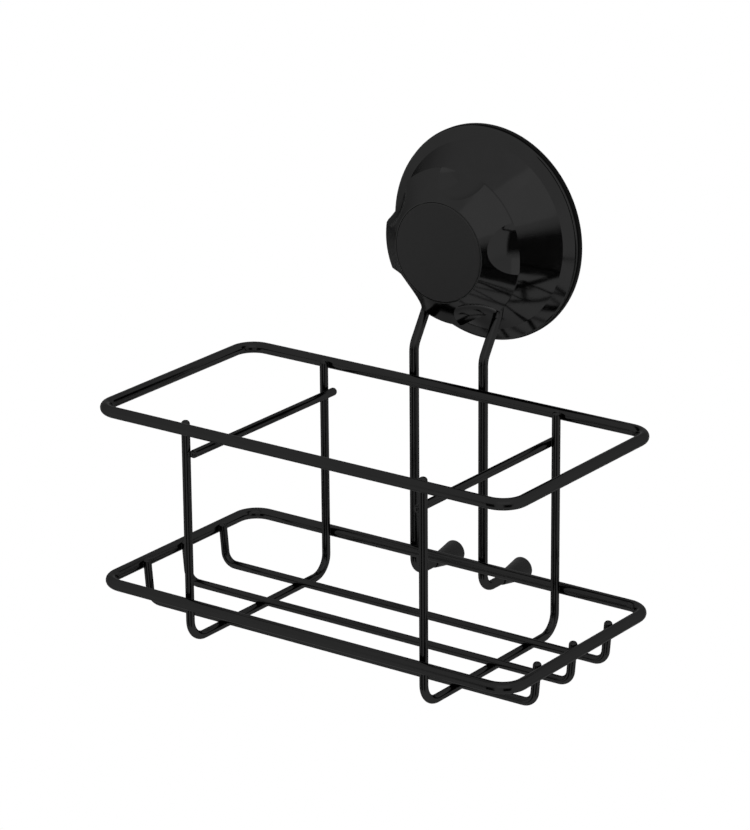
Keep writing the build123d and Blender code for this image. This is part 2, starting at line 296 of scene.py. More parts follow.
@dataclass(frozen=True)
class Finish:
    """A finish: colours, gloss and relief shared by every kind of surface."""

    name: str
    dark: Colour
    light: Colour
    roughness: float
    metallic: float = 0.0
    specular: float = 0.5
    edge_tint: float = 1.0
    fading: tuple[float, float] | None = None
    relief: float = 0.5

    def material(self) -> bpy.types.Material:
        """Builds the material.

        Where fading is set, the gloss gives way to a matt edge between those two shares of turning away.

        Returns:
            The new material, with its surface linked.
        """
        made = bpy.data.materials.new(self.name)
        graph = Graph(made)
        sockets = self.surface(graph)
        sockets["Metallic"] = self.metallic
        sockets["Specular IOR Level"] = self.specular
        sockets["Specular Tint"] = (*grey(self.edge_tint), 1.0)
        shader = graph.node("ShaderNodeBsdfPrincipled", None, sockets)
        if self.fading:
            edge = graph.node("ShaderNodeLayerWeight", None, {"Blend": EVEN_BLEND}, "Facing")
            shader = graph.mix(graph.ramp(edge, *self.fading), shader, graph.matt(self.dark))
        graph.end("ShaderNodeOutputMaterial", shader)
        return made

    def surface(self, graph: Graph) -> dict[str, object]:
        """Gives the shader's sockets; each finish has its own."""
        raise NotImplementedError


@dataclass(frozen=True)
class PowderCoat(Finish):
    """Baked coat on wire: satin, with a fine orange peel and a slightly uneven gloss."""

    relief: float = 0.6
    peel_grain: float = 1.1 * MILLIMETRE
    grit_grain: float = 0.28 * MILLIMETRE
    cloud_grain: float = 14.0 * MILLIMETRE
    peel_depth: float = 0.022 * MILLIMETRE
    peel_share: float = 0.75
    cloud_dulling: float = 0.10
    grit_dulling: float = 0.08

    def surface(self, graph: Graph) -> dict[str, object]:
        """Makes the relief of peel and grit; slow clouds shift the tone and the gloss.

        Args:
            graph: the material's nodes.

        Returns:
            The values and links of the shader's sockets.
        """
        place = graph.place()
        peel = graph.noise(place, self.peel_grain)
        grit = graph.noise(place, self.grit_grain, Octaves.ONE)
        cloud = graph.noise(place, self.cloud_grain)
        dulled = self.cloud_dulling * (cloud - NOISE_MEAN) + self.grit_dulling * (grit - NOISE_MEAN)
        height = peel * self.peel_share + grit * (1.0 - self.peel_share)
        return {
            "Base Color": graph.two_tone(cloud, self.dark, self.light),
            "Roughness": self.roughness + dulled,
            "Normal": graph.bump(height, self.peel_depth, self.relief),
        }


@dataclass(frozen=True)
class GlossMoulding(Finish):
    """Polished moulding: near mirror gloss, slow shrink waves and faint rubbed patches."""

    wave_grain: float = 15.0 * MILLIMETRE
    wave_depth: float = 0.22 * MILLIMETRE
    rub_grain: float = 7.0 * MILLIMETRE
    rub_start: float = 0.52
    rub_dulling: float = 0.30

    def surface(self, graph: Graph) -> dict[str, object]:
        """Bends the reflections by waves; rubbed patches are a little duller.

        Args:
            graph: the material's nodes.

        Returns:
            The values and links of the shader's sockets.
        """
        place = graph.place()
        wave = graph.noise(place, self.wave_grain, Octaves.ONE)
        rub = graph.noise(place, self.rub_grain, Octaves.FOUR)
        dulled = (rub - self.rub_start).at_least(0.0) * self.rub_dulling
        return {
            "Base Color": graph.two_tone(rub, self.dark, self.light),
            "Roughness": self.roughness + dulled,
            "Normal": graph.bump(wave, self.wave_depth, self.relief),
        }


@dataclass(frozen=True)
class SatinMoulding(Finish):
    """Moulding from a spark-eroded tool: an even satin with a very fine grain."""

    spark_grain: float = 0.22 * MILLIMETRE
    spark_depth: float = 0.006 * MILLIMETRE
    spark_dulling: float = 0.06
    cloud_grain: float = 18.0 * MILLIMETRE
    cloud_dulling: float = 0.04

    def surface(self, graph: Graph) -> dict[str, object]:
        """Makes the relief of the spark grain, which also breaks up the gloss.

        Args:
            graph: the material's nodes.

        Returns:
            The values and links of the shader's sockets.
        """
        place = graph.place()
        spark = graph.noise(place, self.spark_grain, Octaves.ONE)
        cloud = graph.noise(place, self.cloud_grain)
        dulled = self.spark_dulling * (spark - NOISE_MEAN) + self.cloud_dulling * (cloud - NOISE_MEAN)
        return {
            "Base Color": graph.two_tone(cloud, self.dark, self.light),
            "Roughness": self.roughness + dulled,
            "Normal": graph.bump(spark, self.spark_depth, self.relief),
        }


@dataclass(frozen=True)
class SoftRubber(Finish):
    """Moulded rubber: matt, with a fine skin, a faint pale bloom and, on a pad, a polished wall face."""

    skin_grain: float = 0.5 * MILLIMETRE
    skin_depth: float = 0.012 * MILLIMETRE
    bloom_grain: float = 9.0 * MILLIMETRE
    bloom_power: float = 2.0
    bloom_dulling: float = 0.16
    polished_radius: float = 0.0
    polished_edge: float = 1.0 * MILLIMETRE
    polished_roughness: float = 0.22

    def surface(self, graph: Graph) -> dict[str, object]:
        """Lightens and dulls the skin where the bloom gathers.

        A polished face is a coat that ends at its radius from the cup's axis.

        Args:
            graph: the material's nodes.

        Returns:
            The values and links of the shader's sockets.
        """
        place = graph.place()
        skin = graph.noise(place, self.skin_grain)
        bloom = graph.noise(place, self.bloom_grain, Octaves.FOUR)
        sockets = {
            "Base Color": graph.two_tone(bloom.power(self.bloom_power), self.dark, self.light),
            "Roughness": self.roughness + self.bloom_dulling * (bloom - NOISE_MEAN),
            "Normal": graph.bump(skin, self.skin_depth, self.relief),
        }
        if self.polished_radius:
            inner = self.polished_radius - self.polished_edge
            sockets["Coat Weight"] = 1.0 - graph.ramp(graph.off_axis(place), inner, self.polished_radius)
            sockets["Coat Roughness"] = self.polished_roughness
        return sockets


@dataclass(frozen=True)
class TurnedSteel(Finish):
    """Bright steel turned on a lathe about the cup's axis, with fine feed rings."""

    relief: float = 0.4
    feed: float = 0.35 * MILLIMETRE
    feed_depth: float = 0.012 * MILLIMETRE
    feed_swing: float = 0.5
    stain_grain: float = 2.5 * MILLIMETRE
    stain_dulling: float = 0.18

    def surface(self, graph: Graph) -> dict[str, object]:
        """Makes feed rings, whose height is a sine of the distance along the axis, from 0 to 1.

        Args:
            graph: the material's nodes.

        Returns:
            The values and links of the shader's sockets.
        """
        place = graph.place()
        turns = graph.part(place, "Y") * (math.tau / self.feed)
        ring = turns.sine() * self.feed_swing + self.feed_swing
        stain = graph.noise(place, self.stain_grain, Octaves.THREE)
        return {
            "Base Color": graph.two_tone(stain, self.dark, self.light),
            "Roughness": self.roughness + self.stain_dulling * (stain - NOISE_MEAN),
            "Normal": graph.bump(ring, self.feed_depth, self.relief),
        }


EDGE_FADING = (0.68, 0.88)
WIRE_COAT = PowderCoat(
    name="satin_wire_coat",
    dark=grey(0.0210),
    light=grey(0.0240),
    roughness=0.16,
    metallic=1.0,
    edge_tint=0.50,
    fading=EDGE_FADING,
)
BELL_GLOSS = GlossMoulding(
    name="bell_gloss_black",
    dark=grey(0.0250),
    light=grey(0.0280),
    roughness=0.10,
    metallic=1.0,
    edge_tint=0.45,
    fading=EDGE_FADING,
)
KNOB_GLOSS = replace(BELL_GLOSS, name="knob_gloss_black")
CAP_SATIN = SatinMoulding(
    name="cap_satin_black",
    dark=grey(0.0295),
    light=grey(0.0315),
    roughness=0.40,
    metallic=1.0,
    edge_tint=0.50,
)
WASHER_SATIN = SatinMoulding(
    name="washer_satin_black",
    dark=grey(0.0140),
    light=grey(0.0180),
    roughness=0.50,
    specular=0.30,
)
PAD_RUBBER = SoftRubber(
    name="pad_rubber_black",
    dark=grey(0.0025),
    light=grey(0.0050),
    roughness=0.50,
    specular=0.015,
    polished_radius=46.6 * MILLIMETRE,
)
BUMPER_RUBBER = SoftRubber(
    name="bumper_rubber_black",
    dark=grey(0.0105),
    light=grey(0.0140),
    roughness=0.58,
    specular=0.12,
)
BRIGHT_STEEL = TurnedSteel(
    name="turned_bright_steel",
    dark=(0.46, 0.46, 0.47),
    light=(0.60, 0.60, 0.61),
    roughness=0.28,
    metallic=1.0,
)


def linked(name: str, data: bpy.types.ID) -> bpy.types.Object:
    """Makes an object of a mesh, lamp or camera and links it to the scene."""
    made = bpy.data.objects.new(name, data)
    bpy.context.scene.collection.objects.link(made)
    return made


@dataclass(frozen=True)
class Surface:
    """Closed shells made of rings of points, each shell closed by one point at either end.

    rings has the shape (shells, rows, columns, 3) and ends the shape (shells, 2, 3).
    """

    rings: np.ndarray
    ends: np.ndarray

    def _faces(self) -> tuple[np.ndarray, np.ndarray]:
        """Works out the corner numbers of the faces.

        Returns:
            Four corners per face between rings, and three per face at the ends.
        """
        shells, rows, columns, _ = self.rings.shape
        stride = rows * columns + 2
        here = np.arange(columns)
        onward = np.roll(here, -1)
        row = (np.arange(rows - 1) * columns)[:, None]
        quads = np.stack([row + here, row + onward, row + columns + onward, row + columns + here], -1)
        last = (rows - 1) * columns
        first_end = np.full(columns, rows * columns)
        near = np.stack([first_end, onward, here], -1)
        far = np.stack([first_end + 1, last + here, last + onward], -1)
        shift = (np.arange(shells) * stride)[:, None, None]
        quads = (quads.reshape(1, -1, 4) + shift).reshape(-1, 4)
        fans = (np.concatenate([near, far])[None] + shift).reshape(-1, 3)
        return quads, fans

    def _points(self) -> np.ndarray:
        """Lists every point, shell by shell, with a shell's two ends last."""
        shells = self.rings.shape[0]
        return np.concatenate([self.rings.reshape(shells, -1, 3), self.ends], 1).reshape(-1, 3)

    def piece(self, name: str, material: bpy.types.Material) -> bpy.types.Object:
        """Puts the surface into a smooth mesh whose faces point outwards.

        The volume is the sum of the corners' triple products; where it is negative the faces are turned.

        Args:
            name: the piece's name.
            material: its finish.

        Returns:
            The new object, at the origin and linked to the scene.
        """
        points = self._points()
        quads, fans = self._faces()
        thirds = np.concatenate([quads[:, [0, 1, 2]], quads[:, [0, 2, 3]], fans])
        corners = points[thirds]
        volume = np.einsum("ij,ij->i", corners[:, 0], np.cross(corners[:, 1], corners[:, 2])).sum()
        if volume < 0:
            quads = quads[:, ::-1]
            fans = fans[:, ::-1]
        mesh = bpy.data.meshes.new(name)
        mesh.from_pydata(points.tolist(), [], quads.tolist() + fans.tolist())
        mesh.polygons.foreach_set("use_smooth", np.ones(len(mesh.polygons), dtype=bool))
        mesh.materials.append(material)
        mesh.validate()
        return linked(name, mesh)


def turned(
    profile: np.ndarray,
    columns: int,
    centre: tuple[float, float] = (0.0, 0.0),
    swell: np.ndarray | None = None,
) -> Surface:
    """Turns a profile about an axis square to the wall.

    A point is centre + radius (cos a, sin a) along the wall and depth out from it. The first and last
    profile points lie on the axis and become the ends.

    Args:
        profile: the radius and the depth of each of its points.
        columns: how many points go round.
        centre: x and z of the axis.
        swell: factor on the radius at each angle.

    Returns:
        One closed shell.
    """
    radius, depth = profile.T
    angle = np.linspace(0.0, math.tau, columns, endpoint=False)
    factor = np.ones(columns) if swell is None else swell
    out = np.outer(radius[1:-1], factor)
    x = centre[0] + out * np.cos(angle)
    z = centre[1] + out * np.sin(angle)
    y = np.broadcast_to(-depth[1:-1, None], x.shape)
    rings = np.stack([x, y, z], -1)[None]
    ends = np.array([[centre[0], -depth[0], centre[1]], [centre[0], -depth[-1], centre[1]]])
    return Surface(rings, ends[None])


def arc(centre: tuple[float, float], radius: float, start: float, stop: float, count: int) -> np.ndarray:
    """Gives points (radius, depth) on a quarter or other arc of a profile, angles in degrees."""
    angle = np.radians(np.linspace(start, stop, count))
    return np.stack([centre[0] + radius * np.cos(angle), centre[1] + radius * np.sin(angle)], -1)


def run(start: tuple[float, float], stop: tuple[float, float], count: int) -> np.ndarray:
    """Gives evenly spaced points (radius, depth) on a straight part of a profile, without its ends."""
    share = np.linspace(0.0, 1.0, count + 2)[1:-1, None]
    return np.array(start) * (1.0 - share) + np.array(stop) * share


def dress(nodes: tuple[str, ...], finish: Finish) -> bpy.types.Material:
    """Gives one finish to several solids.

    Args:
        nodes: the names of the solids.
        finish: what they wear.

    Returns:
        The material, for the pieces that match them.
    """
    material = finish.material()
    for name in nodes:
        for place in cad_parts[name].material_slots:
            place.material = material
        LOG.info("%s wears %s", name, material.name)
    return material


@dataclass
class WeldFillets:
    """The coated fillets where wires of two gauges are welded across each other.

    A weld is a point with the direction of its first wire and the way from there to the second wire, which
    crosses the first at a right angle. The fillet is a waisted collar, cut to both wires' round backs.
    """

    name: str
    first_radius: float
    second_radius: float
    sink: float
    points: np.ndarray
    normals: np.ndarray
    first_along: np.ndarray
    gap: float = 0.62 * MILLIMETRE
    most_drop: float = 0.8
    waist: float = 0.13
    tuck: float = 0.16 * MILLIMETRE
    root_share: float = 0.5
    columns: int = 40
    rows: int = 9

    def _reach(self, radius: float) -> float:
        """Gives how far out a wire's back falls away by the gap: the half chord at that drop."""
        drop = min(self.gap + self.sink / 2, self.most_drop * radius)
        return math.sqrt(radius**2 - (radius - drop) ** 2)

    def surface(self) -> Surface:
        """Works out all the collars.

        Round the weld the collar is an ellipse. Its height runs from one wire's back to the other's, each
        r - sqrt(r^2 - offset^2) away, and its width shrinks by the waist half way up.

        Returns:
            One closed shell per weld.
        """
        angle = np.linspace(0.0, math.tau, self.columns, endpoint=False)
        height = np.linspace(-1.0, 1.0, self.rows)[:, None]
        width = 1.0 - self.waist * (1.0 - height**2)
        edge_first = self._reach(self.second_radius) * np.cos(angle)
        edge_second = self._reach(self.first_radius) * np.sin(angle)
        beyond = self.tuck - self.sink / 2
        low = np.sqrt(self.first_radius**2 - edge_second**2) - self.first_radius - beyond
        high = self.second_radius - np.sqrt(self.second_radius**2 - edge_first**2) + beyond
        across = low + (high - low) * (height + 1.0) / 2
        local = np.stack([width * edge_first, width * edge_second, across], -1)
        second_along = np.cross(self.normals, self.first_along)
        axes = np.stack([self.first_along, second_along, self.normals], 1)
        rings = np.einsum("rck,nkd->nrcd", local, axes) + self.points[:, None, None, :]
        deep = self.root_share * min(self.first_radius, self.second_radius)
        ends = self.points[:, None, :] + np.array([-deep, deep])[None, :, None] * self.normals[:, None, :]
        return Surface(rings, ends)

    def build(self, material: bpy.types.Material) -> None:
        """Makes the piece and hangs it on the basket.

        Args:
            material: the coat of the wires.
        """
        made = self.surface().piece(self.name, material)
        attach(made, Body.BASKET.value)
        LOG.info("%s: %d welds", self.name, len(self.points))


@dataclass
class WireBasket:
    """The welded basket: two rims, two hoops, two side bars, three base wires and the hanger.

    Gauges and places come from the boxes of the solids. How deep the welds sink is set here.
    """

    rims: tuple[str, ...] = ("top_rim", "bottom_rim")
    hoops: tuple[str, ...] = ("left_hoop", "right_hoop")
    bars: tuple[str, ...] = ("left_side_bar", "right_side_bar")
    base_wires: tuple[str, ...] = ("front_base_wire", "middle_base_wire", "rear_base_wire")
    hanger: str = "hanger_wire"
    hanger_radius: float = 2.1 * MILLIMETRE
    hoop_sink: float = 0.1 * MILLIMETRE
    bar_sink: float = 0.4 * MILLIMETRE
    base_sink: float = 1.0 * MILLIMETRE
    hanger_sink: float = 0.8 * MILLIMETRE
    rim_radius: float = field(init=False)
    rim_heights: tuple[float, ...] = field(init=False)
    front_rail: float = field(init=False)
    rear_rail: float = field(init=False)
    side_rail: float = field(init=False)
    hoop_radius: float = field(init=False)
    hoop_half_spacing: float = field(init=False)
    hoop_foot: float = field(init=False)
    bar_radius: float = field(init=False)
    bar_height: float = field(init=False)
    base_radius: float = field(init=False)
    base_rows: tuple[float, ...] = field(init=False)
    hanger_half_spacing: float = field(init=False)

    def __post_init__(self) -> None:
        """Works out each gauge and place from the box of its solid."""
        upper, lower = (Box.of(name) for name in self.rims)
        hoop = Box.of(self.hoops[-1])
        bar = Box.of(self.bars[-1])
        rows = [Box.of(name) for name in self.base_wires]
        self.rim_radius = upper.half()[Z]
        self.rim_heights = (upper.middle()[Z], lower.middle()[Z])
        self.front_rail = upper.low[Y] + self.rim_radius
        self.rear_rail = upper.high[Y] - self.rim_radius
        self.side_rail = upper.high[X] - self.rim_radius
        self.hoop_radius = hoop.half()[X]
        self.hoop_half_spacing = hoop.middle()[X]
        self.hoop_foot = hoop.low[Z] + self.hoop_radius
        self.bar_radius = bar.half()[Z]
        self.bar_height = bar.middle()[Z]
        self.base_radius = rows[0].half()[Y]
        self.base_rows = tuple(row.middle()[Y] for row in rows)
        self.hanger_half_spacing = Box.of(self.hanger).high[X] - self.hanger_radius

    def _welds(
        self,
        name: str,
        gauges: tuple[float, float, float],
        along: Direction,
        spots: list[Spot],
    ) -> WeldFillets:
        """Gathers one kind of weld.

        Args:
            name: the piece's name.
            gauges: radius of the first wire, of the second, and how deep they sink into each other.
            along: the direction of the first wire.
            spots: the middle of each weld, with the way from the first wire to the second there.

        Returns:
            The fillets, ready to build.
        """
        places, normals = (np.array(column) for column in zip(*spots))
        return WeldFillets(name, *gauges, places, normals, np.tile(along.vector(), (len(spots), 1)))

    def hoop_welds(self) -> WeldFillets:
        """Welds the hoops' uprights inside the rims' front and rear rails.

        Returns:
            Two fillets on each of the four uprights.
        """
        inward = Direction.INTO_WALL.vector()
        reach = self.rim_radius - self.hoop_sink / 2
        rails = [(self.front_rail + reach, inward), (self.rear_rail - reach, -inward)]
        spots = [
            ((side * self.hoop_half_spacing, y, z), normal)
            for side in SIDES
            for y, normal in rails
            for z in self.rim_heights
        ]
        gauges = (self.rim_radius, self.hoop_radius, self.hoop_sink)
        return self._welds("hoop_weld_fillets", gauges, Direction.ACROSS, spots)

    def bar_welds(self) -> WeldFillets:
        """Welds the side bars to the inner faces of the hoops' uprights.

        Returns:
            Two fillets on each bar.
        """
        across = Direction.ACROSS.vector()
        reach = self.hoop_half_spacing - self.hoop_radius + self.bar_sink / 2
        upright = self.rim_radius + self.hoop_radius - self.hoop_sink
        rows = (self.front_rail + upright, self.rear_rail - upright)
        spots = [((side * reach, y, self.bar_height), -side * across) for side in SIDES for y in rows]
        gauges = (self.hoop_radius, self.bar_radius, self.bar_sink)
        return self._welds("side_bar_weld_fillets", gauges, Direction.UP, spots)

    def base_welds(self) -> WeldFillets:
        """Welds the base wires where they cross over the hoops' lower legs.

        Returns:
            Two fillets on each base wire.
        """
        up = Direction.UP.vector()
        half = self.hoop_half_spacing
        height = self.hoop_foot + self.hoop_radius - self.base_sink / 2
        spots = [((side * half, y, height), up) for side in SIDES for y in self.base_rows]
        gauges = (self.hoop_radius, self.base_radius, self.base_sink)
        return self._welds("base_wire_weld_fillets", gauges, Direction.INTO_WALL, spots)

    def tip_welds(self) -> WeldFillets:
        """Welds the base wires' upturned tips inside the lower rim's side rails.

        Returns:
            Two fillets on each base wire.
        """
        across = Direction.ACROSS.vector()
        reach = self.side_rail - self.rim_radius + self.bar_sink / 2
        height = self.rim_heights[-1]
        spots = [((side * reach, y, height), -side * across) for side in SIDES for y in self.base_rows]
        gauges = (self.rim_radius, self.base_radius, self.bar_sink)
        return self._welds("base_tip_weld_fillets", gauges, Direction.INTO_WALL, spots)

    def hanger_welds(self) -> WeldFillets:
        """Welds the hanger's legs to the wall side of both rear rails.

        Returns:
            Two fillets on each leg.
        """
        inward = Direction.INTO_WALL.vector()
        half = self.hanger_half_spacing
        y = self.rear_rail + self.rim_radius - self.hanger_sink / 2
        spots = [((side * half, y, z), inward) for side in SIDES for z in self.rim_heights]
        gauges = (self.rim_radius, self.hanger_radius, self.hanger_sink)
        return self._welds("hanger_weld_fillets", gauges, Direction.ACROSS, spots)

    def build(self) -> None:
        """Coats the wires and adds the fillets of every weld."""
        wires = (*self.rims, *self.hoops, *self.bars, *self.base_wires, self.hanger)
        coat = dress(wires, WIRE_COAT)
        for weld in (
            self.hoop_welds(),
            self.bar_welds(),
            self.base_welds(),
            self.tip_welds(),
            self.hanger_welds(),
        ):
            weld.build(coat)


@dataclass
class WallBumper:
    """A tapered rubber foot on a hanger wire's end, with a blind bore and a dished wall face.

    Its axis and length come from the box of the solid that it stands for.
    """

    name: str
    node: str
    wall_radius: float = 5.3 * MILLIMETRE
    room_radius: float = 2.6 * MILLIMETRE
    wall_round: float = 0.9 * MILLIMETRE
    lip_round: float = 0.18 * MILLIMETRE
    dish: float = 0.3 * MILLIMETRE
    bore_radius: float = 2.12 * MILLIMETRE
    bore_floor: float = 4.0 * MILLIMETRE
    seam_height: float = 0.05 * MILLIMETRE
    seam_width: float = 0.06
    face_rows: int = 14
    edge_rows: int = 10
    flank_rows: int = 24
    lip_rows: int = 6
    bore_rows: int = 12
    columns: int = 144

    def _profile(self, length: float) -> np.ndarray:
        """Lists (radius, depth) round the foot's section.

        The wall face is a dish of (1 - s^2)^2 over the share s of its radius. A round edge, a straight
        flank, a small lip and the blind bore follow.

        Args:
            length: how far the foot stands out from the wall.

        Returns:
            The points, from the axis on the wall face to the axis on the bore's floor.
        """
        face_end = self.wall_radius - self.wall_round
        face_radius = np.linspace(0.0, face_end, self.face_rows)
        face = np.stack([face_radius, self.dish * (1.0 - (face_radius / face_end) ** 2) ** 2], -1)
        edge = arc((face_end, self.wall_round), self.wall_round, -QUARTER_TURN, 0.0, self.edge_rows)[1:]
        lip_centre = (self.room_radius - self.lip_round, length - self.lip_round)
        flank = run(tuple(edge[-1]), (self.room_radius, lip_centre[1]), self.flank_rows)
        lip = arc(lip_centre, self.lip_round, 0.0, QUARTER_TURN, self.lip_rows)
        mouth = np.array([[self.bore_radius, length]])
        bore = run((self.bore_radius, length), (self.bore_radius, self.bore_floor), self.bore_rows)
        floor = np.array([[self.bore_radius, self.bore_floor], [0.0, self.bore_floor]])
        return np.concatenate([face, edge, flank, lip, mouth, bore, floor])

    def build(self, material: bpy.types.Material) -> None:
        """Turns the foot, with a mould seam down both sides, in place of its plain solid.

        The seam is a bell curve of the angle on either side.

        Args:
            material: its rubber.
        """
        box = Box.of(self.node)
        angle = np.linspace(0.0, math.tau, self.columns, endpoint=False)
        off_seam = np.arcsin(np.sin(angle))
        ridge = np.exp(-((off_seam / self.seam_width) ** 2))
        swell = 1.0 - self.seam_height / self.wall_radius * (1.0 - ridge)
        centre = (box.middle()[X], box.middle()[Z])
        made = turned(self._profile(-box.low[Y]), self.columns, centre, swell).piece(self.name, material)
        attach(made, Body.BASKET.value)
        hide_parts(self.node)
        LOG.info("%s stands for %s", self.name, self.node)


@dataclass
class SuctionPad:
    """The rubber pad: a dished disc with sealing grooves and a lip, and a hub that the stud draws up.

    Its reach comes from the box of its solid, and its disc fills the space behind the bell.
    """

    name: str = "suction_pad_rubber"
    node: str = "suction_pad"
    bell: str = "bell_cover"
    edge_round: float = 0.6 * MILLIMETRE
    dish: float = 1.1 * MILLIMETRE
    dish_radius: float = 36.0 * MILLIMETRE
    groove_radii: tuple[float, ...] = (38.6 * MILLIMETRE, 40.8 * MILLIMETRE, 43.0 * MILLIMETRE)
    groove_depth: float = 0.62 * MILLIMETRE
    groove_width: float = 0.45 * MILLIMETRE
    hub_foot: float = 14.0 * MILLIMETRE
    hub_top: float = 10.5 * MILLIMETRE
    hub_round: float = 0.8 * MILLIMETRE
    still_depth: float = 3.3 * MILLIMETRE
    drawn_depth: float = 7.5 * MILLIMETRE
    face_rows: int = 190
    edge_rows: int = 8
    back_rows: int = 40
    flank_rows: int = 16
    shoulder_rows: int = 7
    top_rows: int = 8
    columns: int = 180
    radius: float = field(init=False)
    thickness: float = field(init=False)
    hub_height: float = field(init=False)

    def __post_init__(self) -> None:
        """Reads the pad's reach and the bell's back from the boxes of their solids."""
        box = Box.of(self.node)
        self.radius = box.half()[X]
        self.thickness = -Box.of(self.bell).high[Y]
        self.hub_height = -box.low[Y]

    def _wall_face(self) -> np.ndarray:
        """Lists (radius, depth) of the wall face: a smooth dish plus a bell-shaped groove at each ring.

        Returns:
            The points, from the axis outwards.
        """
        radius = np.linspace(0.0, self.radius - self.edge_round, self.face_rows)
        inside = np.clip(1.0 - (radius / self.dish_radius) ** 2, 0.0, None)
        rings = np.array(self.groove_radii)[:, None]
        grooves = np.exp(-(((radius - rings) / self.groove_width) ** 2)).sum(0)
        return np.stack([radius, self.dish * inside**2 + self.groove_depth * grooves], -1)

    def _profile(self) -> np.ndarray:
        """Lists (radius, depth) from the wall face round the edge and up the hub.

        Returns:
            The points, from the axis on the wall face to the axis on the hub's top.
        """
        inner = self.radius - self.edge_round
        hub_inner = self.hub_top - self.hub_round
        hub_shoulder = self.hub_height - self.hub_round
        foot = (self.hub_foot, self.thickness)
        room_edge = self.thickness - self.edge_round
        rim_wall = arc((inner, self.edge_round), self.edge_round, -QUARTER_TURN, 0.0, self.edge_rows)[1:]
        rim_room = arc((inner, room_edge), self.edge_round, 0.0, QUARTER_TURN, self.edge_rows)
        back = run((inner, self.thickness), foot, self.back_rows)
        flank = run(foot, (self.hub_top, hub_shoulder), self.flank_rows)
        shoulder = arc((hub_inner, hub_shoulder), self.hub_round, 0.0, QUARTER_TURN, self.shoulder_rows)
        top = run((hub_inner, self.hub_height), (0.0, self.hub_height), self.top_rows)
        pole = np.array([[0.0, self.hub_height]])
        edge = np.concatenate([self._wall_face(), rim_wall, rim_room, back])
        return np.concatenate([edge, np.array([foot]), flank, shoulder, top, pole])

    def build(self, material: bpy.types.Material) -> None:
        """Turns the pad in place of its plain solid.

        Args:
            material: its rubber.
        """
        made = turned(self._profile(), self.columns).piece(self.name, material)
        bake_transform(made)
        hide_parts(self.node)
        LOG.info("%s stands for %s", self.name, self.node)


@dataclass
class SuctionCup:
    """The cup: rubber pad, bell, thrust washer, knob with its cap, and the stud with its fasteners."""

    pad: SuctionPad = field(default_factory=SuctionPad)
    steel: tuple[str, ...] = ("draw_stud", "knob_nut", "stop_washer", "stop_screw")

    def build(self) -> None:
        """Finishes each moulding and fastener and turns the pad."""
        dress(("bell_cover",), BELL_GLOSS)
        dress(("knob",), KNOB_GLOSS)
        dress(("knob_cap",), CAP_SATIN)
        dress(("thrust_washer",), WASHER_SATIN)
        dress(self.steel, BRIGHT_STEEL)
        self.pad.build(PAD_RUBBER.material())


@dataclass
class Bumpers:
    """The pair of rubber feet that keep the basket off the wall."""

    feet: tuple[WallBumper, ...] = (
        WallBumper("left_bumper_rubber", "left_wall_bumper"),
        WallBumper("right_bumper_rubber", "right_wall_bumper"),
    )

    def build(self) -> None:
        """Turns both feet in one rubber."""
        rubber = BUMPER_RUBBER.material()
        for foot in self.feet:
            foot.build(rubber)


@dataclass(frozen=True)
class Softbox:
    """A square soft lamp aimed at the caddy."""

    name: str
    place: tuple[float, float, float]
    size: tuple[float, float]
    glow: float

    def build(self, target: Vector) -> None:
        """Hangs the lamp; its power is glow times pi times its area, so glow is what a mirror shows.

        Args:
            target: the point that it faces.
        """
        lamp = bpy.data.lights.new(self.name, "AREA")
        lamp.shape = "RECTANGLE"
        lamp.size, lamp.size_y = self.size
        lamp.energy = self.glow * math.pi * self.size[0] * self.size[1]
        made = linked(self.name, lamp)
        made.location = self.place
        made.rotation_euler = (target - made.location).to_track_quat("-Z", "Y").to_euler()
        made.visible_camera = False


@dataclass(frozen=True)
class Flag:
    """A tall matt card with feathered edges, seen only as a dark stripe in upright glossy surfaces."""

    name: str
    bearing: float
    spread: float
    tone: float
    distance: float = 1.60
    foot: float = -1.40
    head: float = 0.35
    feather: float = 0.35
    top_feather: float = 0.45

    def build(self) -> None:
        """Stands the card facing the caddy.

        Its middle is at the bearing, in degrees from straight ahead towards +X, and its half width is the
        distance times the tangent of half its spread.
        """
        angle = math.radians(self.bearing)
        half_width = self.distance * math.tan(math.radians(self.spread / 2))
        outward = np.array([math.sin(angle), -math.cos(angle)]) * self.distance
        across = np.array([math.cos(angle), math.sin(angle)])
        sideways = across * half_width
        ends = outward + np.stack([-sideways, sideways, sideways, -sideways])
        heights = np.array([self.foot, self.foot, self.head, self.head])
        mesh = bpy.data.meshes.new(self.name)
        mesh.from_pydata(np.column_stack([ends, heights]).tolist(), [], ONE_FACE)
        mesh.materials.append(self.paint((*(across / half_width).tolist(), 0.0)))
        made = linked(self.name, mesh)
        made.visible_camera = False
        made.visible_diffuse = False
        made.visible_shadow = False

    def paint(self, across: tuple[float, float, float]) -> bpy.types.Material:
        """Mixes the card's matt grey, which fades out towards its sides and its top.

        Args:
            across: the vector whose product with a place on the card goes from -1 to 1 from side to side.

        Returns:
            The card's material.
        """
        made = bpy.data.materials.new(self.name + "_card")
        graph = Graph(made)
        place = graph.place()
        dot = {"operation": "DOT_PRODUCT"}
        aside = graph.node("ShaderNodeVectorMath", dot, {0: place, 1: across}, "Value")
        sides = graph.ramp(aside * aside, (1.0 - self.feather) ** 2, 1.0)
        top = graph.ramp(graph.part(place, "Z"), self.head - self.top_feather, self.head)
        clear = graph.node("ShaderNodeBsdfTransparent")
        card = graph.matt(grey(self.tone))
        graph.end("ShaderNodeOutputMaterial", graph.mix(sides.at_least(top), card, clear))
        return made


